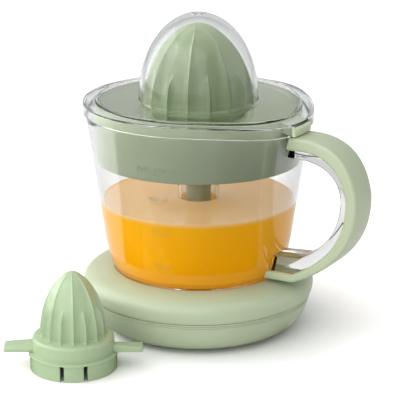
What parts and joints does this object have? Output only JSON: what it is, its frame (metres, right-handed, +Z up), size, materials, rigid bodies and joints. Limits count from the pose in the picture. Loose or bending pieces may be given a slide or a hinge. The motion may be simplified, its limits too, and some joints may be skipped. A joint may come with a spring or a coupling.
{
  "type": "citrus press",
  "caption": "Electric citrus press: round motor base, clear jug with handle, strainer bowl, driven ribbed cone under a clear domed lid, and a spare small cone beside it.",
  "frame": {"origin": "on the vertical drive axis of the cone, at the height of the table the feet stand on", "axes": "+Z up along the drive axis, -Y towards the front where the volume scale is read; the jug's handle is to the right and forwards, 30 degrees from +X towards -Y"},
  "size_m": [0.2452, 0.199, 0.222],
  "materials": {
    "sage_plastic": "satin moulded ABS",
    "clear_plastic": "clear moulded",
    "juice": "orange juice",
    "white_plastic": "moulded nylon",
    "gear_acetal": "moulded acetal",
    "black_plastic": "moulded",
    "red_plastic": "moulded",
    "black_rubber": "moulded",
    "foot_rubber": "moulded",
    "zinc_steel": "zinc plated",
    "shaft_steel": "ground",
    "rotor_steel": "laminated stack",
    "copper_winding": "enamelled copper wire",
    "bronze_bush": "sintered bronze"
  },
  "bodies": {
    "base": {"base_top_cover": "sage_plastic", "base_bottom_cover": "sage_plastic", "feet": "foot_rubber", "base_screws": "zinc_steel", "cord_gland": "black_rubber", "gear_plate": "white_plastic", "plate_screws": "zinc_steel", "motor_can": "zinc_steel", "motor_cap": "zinc_steel", "motor_screws": "zinc_steel", "motor_coil": "copper_winding", "idler_axle": "shaft_steel", "lower_bush": "bronze_bush", "upper_bush": "bronze_bush", "tower_seal": "black_rubber", "micro_switch": "black_plastic", "lever_pin": "shaft_steel"},
    "output": {"output_gear": "gear_acetal"},
    "idler": {"idler_gear": "gear_acetal"},
    "rotor": {"motor_rotor": "rotor_steel", "motor_pinion": "gear_acetal"},
    "drive_spindle": {"spindle": "shaft_steel", "thrust_collar": "shaft_steel", "return_spring": "shaft_steel"},
    "lever": {"switch_lever": "zinc_steel"},
    "plunger": {"switch_plunger": "red_plastic"},
    "jug": {"jug": "clear_plastic", "orange_juice": "juice", "handle_cover": "sage_plastic"},
    "strainer": {"strainer": "sage_plastic"},
    "lid": {"dust_cover": "clear_plastic"},
    "bush": {"cone_bush": "gear_acetal"},
    "large_cone": {"large_reamer": "sage_plastic"},
    "small_cone": {"small_reamer": "sage_plastic"}
  },
  "joints": [
    {"name": "gear_spin", "type": "hinge", "parent": "base", "child": "output", "pos_m": [0, 0, 0.036], "axis": [0, 0, 1], "continuous": true},
    {"name": "idler_spin", "type": "hinge", "parent": "base", "child": "idler", "pos_m": [-0.01285, 0.02577, 0.034], "axis": [0, 0, 1], "continuous": true},
    {"name": "rotor_spin", "type": "hinge", "parent": "base", "child": "rotor", "pos_m": [-0.03637, 0.021, 0.02], "axis": [0, 0, 1], "continuous": true},
    {"name": "spindle_press", "type": "slide", "parent": "output", "child": "drive_spindle", "axis": [0, 0, 1], "range_m": [-0.003, 0], "deforming": ["return_spring"]},
    {"name": "lever_tilt", "type": "hinge", "parent": "base", "child": "lever", "pos_m": [0.0155, -0.02685, 0.018], "axis": [-0.866, -0.5, 0], "range_deg": [0, 7]},
    {"name": "plunger_press", "type": "slide", "parent": "base", "child": "plunger", "axis": [0, 0, 1], "range_m": [-0.0013, 0]},
    {"name": "jug_lift", "type": "slide", "parent": "base", "child": "jug", "axis": [0, 0, 1], "range_m": [0, 0.11]},
    {"name": "strainer_lift", "type": "slide", "parent": "jug", "child": "strainer", "axis": [0, 0, 1], "range_m": [0, 0.06]},
    {"name": "lid_lift", "type": "slide", "parent": "strainer", "child": "lid", "axis": [0, 0, 1], "range_m": [0, 0.08]},
    {"name": "cone_spin", "type": "hinge", "parent": "strainer", "child": "bush", "pos_m": [0, 0, 0.147], "axis": [0, 0, 1], "continuous": true},
    {"name": "cone_press", "type": "slide", "parent": "bush", "child": "large_cone", "axis": [0, 0, 1], "range_m": [-0.003, 0], "stiffness_N_per_m": 900, "springref_m": 0.003},
    {"name": "small_cone_lift", "type": "slide", "parent": "base", "child": "small_cone", "axis": [0, 0, 1], "range_m": [0, 0.1]}
  ],
  "couplings": [
    {"joint": "idler_spin", "follows": "rotor_spin", "ratio": -0.25},
    {"joint": "gear_spin", "follows": "rotor_spin", "ratio": 0.05},
    {"joint": "cone_spin", "follows": "rotor_spin", "ratio": 0.05},
    {"joint": "spindle_press", "follows": "cone_press", "ratio": 1},
    {"joint": "lever_tilt", "follows": "cone_press", "rad_per_m": -40.5},
    {"joint": "plunger_press", "follows": "cone_press", "ratio": 0.42}
  ]
}
